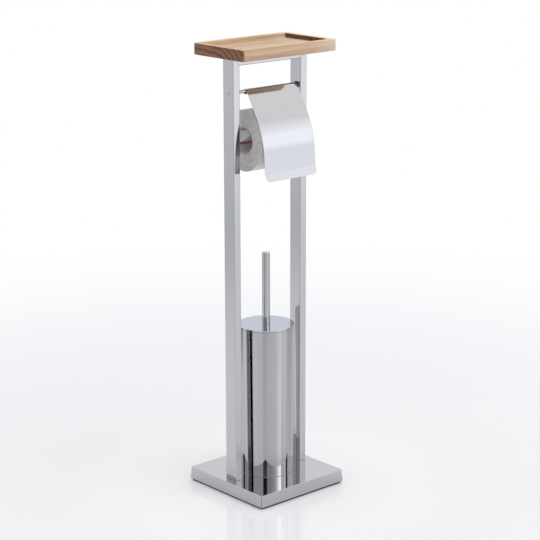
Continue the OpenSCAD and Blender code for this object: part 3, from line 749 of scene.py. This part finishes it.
def roll():
    """The wound paper with its loose outer end, and the board tube in it."""
    x0, x1 = roll_lo.x, roll_hi.x
    inner, edge, soft, inner_edge = 25.05, 0.9, 0.4, 0.3
    sheet, sheet_end, flatten = 0.3, 0.30, 0.085
    middle, half = (x0 + x1) / 2, (x1 - x0) / 2
    rings = [inner + (ROLL_R - edge - inner) * i / 8 for i in range(1, 8)]
    profile = [(inner, -half + inner_edge), (inner + soft, -half), *[(r, -half) for r in rings]]
    profile += lower_edge(ROLL_R, -half, edge, 5)
    profile += [(ROLL_R, -half + edge + (2 * half - 2 * edge) * i / 6) for i in range(1, 6)]
    profile += upper_edge(ROLL_R, half, edge, 5)
    profile += [(r, half) for r in reversed(rings)]
    profile += [(inner + soft, half), (inner, half - inner_edge)]
    random.seed(4)
    wobble = [random.uniform(-0.12, 0.12) for _ in range(24)]

    def at(r, a, h):
        # The outer layer winds in by one sheet per turn and ends in a small step
        share = max(0.0, (r - inner) / (ROLL_R - inner))
        r = r - sheet * share * ((a / (2 * math.pi) + sheet_end) % 1.0)
        # Pressed a little flat from front to back
        r *= 1 - flatten * share * math.cos(a) ** 2
        # The ends are dished and slightly uneven
        k = a / (2 * math.pi) * len(wobble)
        w = wobble[int(k)] * (1 - k % 1) + wobble[(int(k) + 1) % len(wobble)] * (k % 1)
        if abs(h) > half - 0.01:
            dish = 0.35 + w * math.sin(math.pi * share)
            h -= math.copysign(dish, h) * share * (1 - share) * 2
        return Vector((middle + h, ROLL_Y + r * math.cos(a), ROLL_Z + r * math.sin(a)))

    piece = mesh_object("tissue", *lathe(profile, at, 192, closed=True), "roll", "paper",
                        paper_mat, angle=60, weighted=False)
    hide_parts("paper_roll")
    outer, wall, edge = 25.0, 1.0, 0.1
    ring = [(outer - wall, x0 + edge), (outer - wall / 2, x0), (outer, x0 + edge),
            (outer, x1 - edge), (outer - wall / 2, x1), (outer - wall, x1 - edge)]
    tube = lathe(ring, along_x(ROLL_Y, ROLL_Z), 128, closed=True)
    piece = mesh_object("board_tube", *tube, "roll", "core", core_mat)
    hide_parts("roll_core")


roll()


# Spindle

def spindle():
    """The barrel and the plunger that slides in it, each with a pin at its outer end."""
    pin_l, pin_r, pin_edge, edge = 6.0, 3.0, 0.6, 0.8
    way = along_x(0.0, SPINDLE_Z)
    # The barrel, open on the right
    r, wall, lip = (barrel_hi.z - barrel_lo.z) / 2, 1.2, 0.3
    tip, x0, x1 = barrel_lo.x, barrel_lo.x + pin_l, barrel_hi.x
    floor = x0 + 2.0
    profile = [(0, tip), *lower_edge(pin_r, tip, pin_edge, 4), (pin_r, x0),
               *lower_edge(r, x0, edge, 5), *upper_edge(r, x1, lip, 3),
               (r - wall + 0.2, x1), (r - wall, x1 - 0.2), (r - wall, floor), (0, floor)]
    piece = mesh_object("spindle_tube", *lathe(profile, way, 96), "frame", "chrome_spindle",
                        chrome_spindle)
    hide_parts("spindle_barrel")
    # The plunger
    r = (plunger_hi.z - plunger_lo.z) / 2
    x0, x1, tip = plunger_lo.x, plunger_hi.x - pin_l, plunger_hi.x
    profile = [(0, x0), *lower_edge(r, x0, 0.5, 4), *upper_edge(r, x1, edge, 5), (pin_r, x1),
               *upper_edge(pin_r, tip, pin_edge, 4), (0, tip)]
    piece = mesh_object("spindle_rod", *lathe(profile, way, 96), "plunger", "chrome_spindle",
                        chrome_spindle)
    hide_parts("spindle_plunger")


def spring():
    """The coil inside the barrel, with closed end turns."""
    lo, hi = corners("spindle_spring")
    wire, turns, steps, sides = 0.7, 12, 24, 8
    wind = (hi.z - lo.z) / 2 - wire
    close = 2.1 * wire
    pitch = (hi.x - lo.x - 2 * wire - 2 * close) / (turns - 2)
    around_wire = [2 * math.pi * j / sides for j in range(sides)]
    rings = []
    for i in range(turns * steps + 1):
        turn = i / steps
        # How much of the close first turn and of the close last one is done
        first = min(turn, 1.0)
        last = max(turn - (turns - 1), 0.0)
        x = lo.x + wire + close * (first + last) + pitch * (turn - first - last)
        a = 2 * math.pi * turn
        out = Vector((0.0, math.cos(a), math.sin(a)))
        middle = Vector((x, 0.0, SPINDLE_Z)) + out * wind
        rings.append([(middle + out * wire * math.cos(b) - Vector((wire * math.sin(b), 0, 0))) * MM
                      for b in around_wire])
    piece = mesh_object("spring_coil", *loft(rings), "frame", "steel", steel_mat, angle=50,
                        weighted=False)
    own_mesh(piece)
    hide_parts("spindle_spring")


spindle()
spring()


# Canister and brush

R_FOOT, R_TOP, CAN_WALL = 50.0, 52.0, 1.0


def can_r(z):
    return R_FOOT + (R_TOP - R_FOOT) * (z - BASE_TOP) / (can_hi.z - BASE_TOP)


def canister():
    """The slightly tapered shell, with a rounded rim."""
    z0, z1 = BASE_TOP, can_hi.z
    rim, inner_r = 0.3, R_FOOT - CAN_WALL
    heights = [z0 + (z1 - z0) * i / 12 for i in range(1, 12)]
    profile = [(0, z0), *lower_edge(R_FOOT, z0, 0.6, 4), *[(can_r(z), z) for z in heights],
               *upper_edge(R_TOP, z1, rim, 3),
               *arc(R_TOP - CAN_WALL + rim, z1 - rim, rim, 90, 180, 3),
               *reversed(lower_edge(inner_r, z0 + CAN_WALL, 1.2, 4)), (0, z0 + CAN_WALL)]
    piece = mesh_object("canister", *lathe(profile, upright, 192), "frame", "chrome_canister",
                        chrome_canister)
    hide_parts("canister_shell")


def liner():
    """The drip cup in the shell: it stands on a ring and its rim is a half round."""
    z0, z1, wall, play = liner_lo.z, liner_hi.z, 1.6, 0.8
    floor, foot_r = z0 + 9.0, 35.0
    floor_r, top_r = (can_r(z) - CAN_WALL - play for z in (floor, z1))
    half_wall = wall / 2
    profile = [(0, floor), (foot_r - wall, floor), (foot_r - wall, z0 + 0.3),
               (foot_r - 1.2, z0), (foot_r - 0.4, z0), (foot_r, z0 + 0.4), (foot_r, floor),
               *lower_edge(floor_r, floor, 2.5, 6), (top_r - 0.05, z1 - half_wall),
               *arc(top_r - half_wall, z1 - half_wall, half_wall, 0, 180, 8),
               *reversed(lower_edge(floor_r - wall, floor + wall, 3.0, 6)), (0, floor + wall)]
    piece = mesh_object("liner", *lathe(profile, upright, 128), "frame", "liner", liner_mat)
    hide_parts("canister_liner")


canister()
liner()


def brush():
    """Lid, handle, stem and head, which lift out together."""
    # The lid's ring reaches down into the shell, and leaves a fine gap on the rim
    foot, under, z1 = can_hi.z - 6.0, can_hi.z + 0.40, lid_hi.z
    wall, thick, edge, top_edge = 1.0, 1.2, 0.3, 0.7
    r = can_r(foot) - CAN_WALL - 0.4
    profile = [(0, z1 - thick), (r - wall, z1 - thick), (r - wall, foot + edge),
               (r - wall + edge, foot), (r - edge, foot), (r, foot + edge), (r, under),
               (R_TOP - 0.35, under), *lower_edge(R_TOP, under, edge, 3),
               *upper_edge(R_TOP, z1, top_edge, 6), (R_TOP - 8.0, z1), (0, z1)]
    piece = mesh_object("lid", *lathe(profile, upright, 192), "brush", "chrome_brush",
                        chrome_brush)
    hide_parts("brush_lid")

    # The handle stands on a narrower foot, and its top is slightly domed
    r, z0, z1 = (handle_hi.x - handle_lo.x) / 2, handle_lo.z, handle_hi.z
    profile = [(0, z0), (r - 0.9, z0), (r - 0.9, z0 + 0.8), (r - 0.2, z0 + 0.9), (r, z0 + 1.1),
               (r, z1 - 1.0), *arc(r - 0.8, z1 - 0.9, 0.8, 0, 60, 5), (r - 1.6, z1 - 0.05),
               (r - 3.0, z1), (0, z1)]
    piece = mesh_object("handle", *lathe(profile, upright, 96), "brush", "chrome_brush",
                        chrome_brush)
    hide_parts("brush_handle")

    # The stem widens to a flange under the lid, and a pin goes on into the handle
    z0, z1, z2, flange = stem_lo.z, lid_hi.z - thick, stem_hi.z, 3.0
    r, flange_r, pin_r, edge = 4.0, 9.0, 2.5, 0.4
    neck = z1 - flange - 1.0
    profile = [(0, z0), (r - edge, z0), (r, z0 + edge), (r, neck), (r + 0.15, neck + 0.6),
               (r + 0.6, neck + 0.9), (r + 1.2, neck + 1.0),
               *lower_edge(flange_r, z1 - flange, 0.6, 4), (flange_r, z1), (pin_r, z1),
               (pin_r, z2 - edge), (pin_r - edge, z2), (0, z2)]
    piece = mesh_object("stem", *lathe(profile, upright, 64), "brush", "steel", steel_mat)
    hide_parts("brush_stem")

    # The head's core is round above and has a socket for the stem
    r, z0, z1 = (hub_hi.x - hub_lo.x) / 2, hub_lo.z, hub_hi.z
    socket_r, socket, edge, neck = 4.1, 2.0, 0.3, r / 2
    profile = [(0, z0), *lower_edge(r, z0, 1.5, 5), (r, z1 - neck),
               *arc(r - neck, z1 - neck, neck, 0, 60, 6), (socket_r + edge, z1),
               (socket_r, z1 - edge), (socket_r, z1 - socket), (0, z1 - socket)]
    piece = mesh_object("brush_core", *lathe(profile, upright, 96), "brush", "brush", brush_mat)
    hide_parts("brush_hub")
    bristles(r, z0, z1)


def bristles(core_r, z0, z1):
    """Bundles of fine bristles that fan out a little from holes in the core."""
    lo, hi = corners("brush_tufts")
    reach, low = (hi.x - lo.x) / 2, lo.z
    per_tuft, hole, thin, sunk = 22, 1.3, 0.16, 2.0
    random.seed(11)
    vertices, faces = [], []

    def bristle(root, tip):
        way = (tip - root).normalized()
        side = way.orthogonal().normalized()
        other = way.cross(side)
        first = len(vertices)
        for point, size in ((root, thin), (tip, thin * 0.8)):
            for k in range(3):
                a = 2 * math.pi * k / 3
                vertices.append((point + (side * math.cos(a) + other * math.sin(a)) * size) * MM)
        for k in range(3):
            m = (k + 1) % 3
            faces.append((first + k, first + m, first + 3 + m, first + 3 + k))
        faces.append((first + 3, first + 4, first + 5))

    def tuft(root, way, length):
        side = way.orthogonal().normalized()
        other = way.cross(side)
        for k in range(per_tuft):
            # Turning by this angle each time spreads them evenly over the hole
            a, d = 2.4 * k, math.sqrt((k + 0.5) / per_tuft)
            offset = side * math.cos(a) * d + other * math.sin(a) * d
            spread = 2.1 + random.uniform(-0.4, 0.4)
            bristle(root + offset * hole, root + way * (length * random.uniform(0.955, 1.0))
                    + offset * (hole + spread * 0.6))

    # Rows round the core, each second one turned by half a step
    rows, count = 9, 12
    top = z1 - core_r / 2
    length = (reach - 1.0) - (core_r - sunk)
    for row in range(rows):
        z = z0 + 3.5 + (top - z0 - 6.0) * row / (rows - 1)
        for i in range(count):
            a = 2 * math.pi * (i + row % 2 / 2) / count
            way = Vector((math.cos(a), math.sin(a), 0.0))
            tuft(way * (core_r - sunk) + Vector((0, 0, z)), way, length * 0.985)
    # A ring of tufts below, slanting outwards
    below, ring_r, slant, z = 6, core_r * 0.62, 0.35, z0 + 1.0
    for i in range(below):
        a = 2 * math.pi * i / below
        way = Vector((slant * math.cos(a), slant * math.sin(a), -1)).normalized()
        tuft(Vector((ring_r * math.cos(a), ring_r * math.sin(a), z)), way, (z - low) * 0.98)
    piece = mesh_object("bristles", vertices, faces, "brush", "brush", brush_mat, weighted=False)
    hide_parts("brush_tufts")


brush()


# The CAD nodes that stay get materials

def dress(material, *names):
    for name in names:
        node = frame["nodes"][name]
        if not node.material_slots:
            node.data.materials.append(material)
        for slot in node.material_slots:
            slot.material = material


dress(iron_mat, "ballast_plate")
dress(steel_mat, "post_bolts", "left_foot_insert", "right_foot_insert", "tray_screws",
      "canister_screw", "canister_nut")


# Stage and light

# Colours by compass direction in degrees, from 0 along +X over 90 along +Y. The metal
# mirrors LOW near the horizon, MID at about 20 degrees up, where a soft box and the dark gaps
# between the studio's panels are, and FLOOR_FAR where the floor runs out. NEAR is the tone of
# the floor, with painted light and shade by direction; CLOSE_SHADING paints more shade and light
# on it against the base, and GAP_SHADE paints shade in strips further off.
LOW = [(-180, (0.74, 0.76, 0.82)), (-150, (0.74, 0.76, 0.82)), (-145, (0.03, 0.03, 0.035)),
       (-130, (0.03, 0.03, 0.035)), (-126, (0.62, 0.62, 0.66)), (-100, (0.85, 0.85, 0.90)),
       (-80, (1.5, 1.5, 1.56)), (-66, (1.6, 1.62, 1.7)), (-50, (1.52, 1.56, 1.68)),
       (-41, (1.52, 1.56, 1.68)), (-39, (0.1, 0.1, 0.11)), (-22, (0.1, 0.1, 0.11)),
       (-18, (0.28, 0.28, 0.3)), (10, (0.28, 0.28, 0.3)), (16, (1.1, 1.12, 1.18)),
       (48, (0.84, 0.91, 1.03)), (100, (0.9, 0.91, 0.95)), (135, (0.8, 0.81, 0.85)),
       (180, (0.74, 0.76, 0.82))]
MID = [(-180, (0.66, 0.68, 0.74)), (-147, (0.66, 0.68, 0.74)), (-144, (0.012, 0.012, 0.015)),
       (-130, (0.012, 0.012, 0.015)), (-127, (0.50, 0.50, 0.53)), (-110, (0.55, 0.55, 0.58)),
       (-96, (0.80, 0.81, 0.84)), (-85, (1.35, 1.36, 1.42)), (-77, (2.6, 2.62, 2.7)),
       (-68, (3.3, 3.32, 3.4)), (-65, (1.3, 1.32, 1.4)), (-58, (1.02, 1.05, 1.12)),
       (-50, (1.17, 1.19, 1.26)), (-45, (1.34, 1.35, 1.42)), (-41, (1.34, 1.35, 1.42)),
       (-39, (0.02, 0.02, 0.025)), (-30, (0.02, 0.02, 0.025)), (-27, (1.0, 1.03, 1.1)),
       (10, (0.99, 0.99, 1.02)), (48, (0.99, 0.98, 1.0)),
       (108, (0.75, 0.77, 0.82)), (112, (0.03, 0.03, 0.035)), (122, (0.03, 0.03, 0.035)),
       (126, (0.62, 0.64, 0.7)), (180, (0.66, 0.68, 0.74))]
NEAR = [(-180, (0.84, 0.84, 0.86)), (-160, (0.77, 0.77, 0.79)), (-135, (0.73, 0.73, 0.75)),
        (-60, (0.72, 0.72, 0.74)), (-48, (0.76, 0.76, 0.79)), (-35, (0.75, 0.75, 0.78)),
        (-28, (0.59, 0.59, 0.61)), (-12, (0.58, 0.58, 0.60)), (5, (0.66, 0.66, 0.68)),
        (48, (0.75, 0.75, 0.77)), (100, (0.87, 0.87, 0.88)), (133, (0.92, 0.92, 0.93)),
        (180, (0.84, 0.84, 0.86))]
GAP_SHADE = [(-180, (1, 1, 1)), (106, (1, 1, 1)), (109, (0.2, 0.2, 0.2)), (120, (0.2, 0.2, 0.2)),
        (123, (1, 1, 1)), (160, (1, 1, 1)), (165, (0.75, 0.75, 0.75)), (180, (1, 1, 1))]
FLOOR_FAR = [(-180, (0.74, 0.74, 0.76)), (-147, (0.70, 0.70, 0.72)), (-143, (0.38, 0.38, 0.40)),
             (-131, (0.38, 0.38, 0.40)), (-127, (0.66, 0.66, 0.68)), (-104, (0.85, 0.85, 0.88)),
             (-64, (1.28, 1.31, 1.39)), (-42, (1.21, 1.25, 1.36)), (-39, (0.25, 0.26, 0.28)),
             (-22, (0.25, 0.26, 0.28)), (-18, (0.40, 0.40, 0.42)), (10, (0.40, 0.40, 0.42)),
             (16, (0.88, 0.89, 0.93)), (48, (1.0, 1.0, 1.04)), (109, (0.84, 0.84, 0.87)),
             (113, (0.3, 0.3, 0.32)), (120, (0.3, 0.3, 0.32)), (124, (0.83, 0.83, 0.86)),
             (132, (0.83, 0.83, 0.86)), (180, (0.74, 0.74, 0.76))]
CLOSE_SHADING = [(-180, (0.89, 0.89, 0.89)), (-153, (1.0, 1.0, 0.99)), (-140, (1.0, 1.0, 0.99)),
         (-128, (0.80, 0.80, 0.79)), (-45, (0.76, 0.76, 0.75)), (-39, (0.78, 0.78, 0.77)),
         (-33, (1.1, 1.1, 1.1)), (-10, (1.1, 1.1, 1.1)), (5, (0.95, 0.95, 0.95)),
         (50, (0.89, 0.89, 0.89)), (180, (0.89, 0.89, 0.89))]
PEAK = 4.0
BACKDROP = (1 / PEAK, 1 / PEAK, 1 / PEAK)


def around(n, x, y, stops, peak=PEAK):
    """A colour by compass direction, as a share of the peak."""
    turn = n.remap(n.math("ARCTAN2", y, x), -math.pi, math.pi, 0, 1)
    return n.ramp(turn, [((angle + 180) / 360, tuple(v / peak for v in colour))
                         for angle, colour in stops])


def make_floor():
    """A glossy disc. The camera sees it run into the white of the background, and the metal
    sees it run into the studio."""
    radius, sides = 20.0, 96
    turns = [2 * math.pi * i / sides for i in range(sides)]
    mesh = bpy.data.meshes.new("floor")
    mesh.from_pydata([(radius * math.cos(a), radius * math.sin(a), 0.0) for a in turns], [],
                     [tuple(range(sides))])
    floor = bpy.data.objects.new("floor", mesh)
    scene.collection.objects.link(floor)
    material, n = new_material("floor")
    mesh.materials.append(material)
    p = n.place()
    away = n.length(p)
    x, y, _ = n.split(p)
    direct = n.camera_ray()
    seen = n.remap(away, 0.6, 1.9, 0, 1, smooth=True)
    mirrored = n.remap(away, 0.9, 4.6, 0, 1, smooth=True)
    far = n.math("MULTIPLY_ADD", direct, n.math("SUBTRACT", seen, mirrored), mirrored)
    colour = n.mix(direct, around(n, x, y, FLOOR_FAR), BACKDROP)
    # For all but camera rays, the floor's tone is painted light and shade by direction
    tone = around(n, x, y, NEAR, 1.0)
    # Painted shade and light on the floor against the base
    close = n.mix(1.0, tone, around(n, x, y, CLOSE_SHADING, 1.0), blend="MULTIPLY")
    tone = n.mix(n.remap(away, 0.15, 0.25, 0, 1, smooth=True), close, tone)
    tone = n.mix(n.remap(away, 0.7, 2.2, 0, 1, smooth=True), tone, (0.62, 0.62, 0.64))
    # Painted shade in strips further off
    tone = n.mix(n.remap(away, 0.6, 1.1, 0, 1), tone, around(n, x, y, GAP_SHADE, 1.0),
                 blend="MULTIPLY")
    # Painted light: the camera sees it a little paler round the base, which lightens the base's
    # shadow there
    pale = n.remap(away, 0.22, 0.42, 1, 0, smooth=True)
    tone = n.mix(direct, tone, n.mix(pale, (0.81, 0.806, 0.817), (0.845, 0.843, 0.856)))
    near = n.add("ShaderNodeBsdfPrincipled", {"Base Color": tone, "Roughness": 0.05,
                                              "IOR": 1.40})
    light = n.add("ShaderNodeEmission", {"Color": colour, "Strength": PEAK})
    mix = n.add("ShaderNodeMixShader", {0: far, 1: near.outputs[0], 2: light.outputs[0]})
    n.finish("ShaderNodeOutputMaterial", mix)


def make_world():
    """The studio that the metal mirrors, with a plain white backdrop for the camera."""
    world = bpy.data.worlds.new("studio")
    scene.world = world
    world.use_nodes = True
    n = Nodes(world.node_tree)
    x, y, z = n.split(n.add("ShaderNodeTexCoord").outputs["Generated"])
    # Bands by how far the direction rises, each blended into the next one
    high = (1.09 / PEAK, 1.09 / PEAK, 1.10 / PEAK)
    colour = n.mix(n.remap(z, -0.01, 0.12, 0, 1, smooth=True), around(n, x, y, FLOOR_FAR),
                   around(n, x, y, LOW))
    colour = n.mix(n.remap(z, 0.25, 0.37, 0, 1, smooth=True), colour, around(n, x, y, MID))
    colour = n.mix(n.remap(z, 0.35, 0.50, 0, 1, smooth=True), colour, high)
    colour = n.mix(n.camera_ray(), colour, BACKDROP)
    background = n.add("ShaderNodeBackground", {"Color": colour, "Strength": PEAK})
    n.finish("ShaderNodeOutputWorld", background)


def make_top_light():
    """A large soft box above the front of the object."""
    data = bpy.data.lights.new("top", "AREA")
    data.shape = "RECTANGLE"
    data.size, data.size_y = 1.8, 1.8
    data.energy = 7.0
    lamp = bpy.data.objects.new("top", data)
    scene.collection.objects.link(lamp)
    place, aim = Vector((0.35, -0.9, 2.7)), Vector((0.0, 0.0, 0.4))
    lamp.location = place
    lamp.rotation_mode = "QUATERNION"
    lamp.rotation_quaternion = (aim - place).to_track_quat("-Z", "Y")


make_floor()
make_world()
make_top_light()

scene.view_settings.view_transform = "Standard"
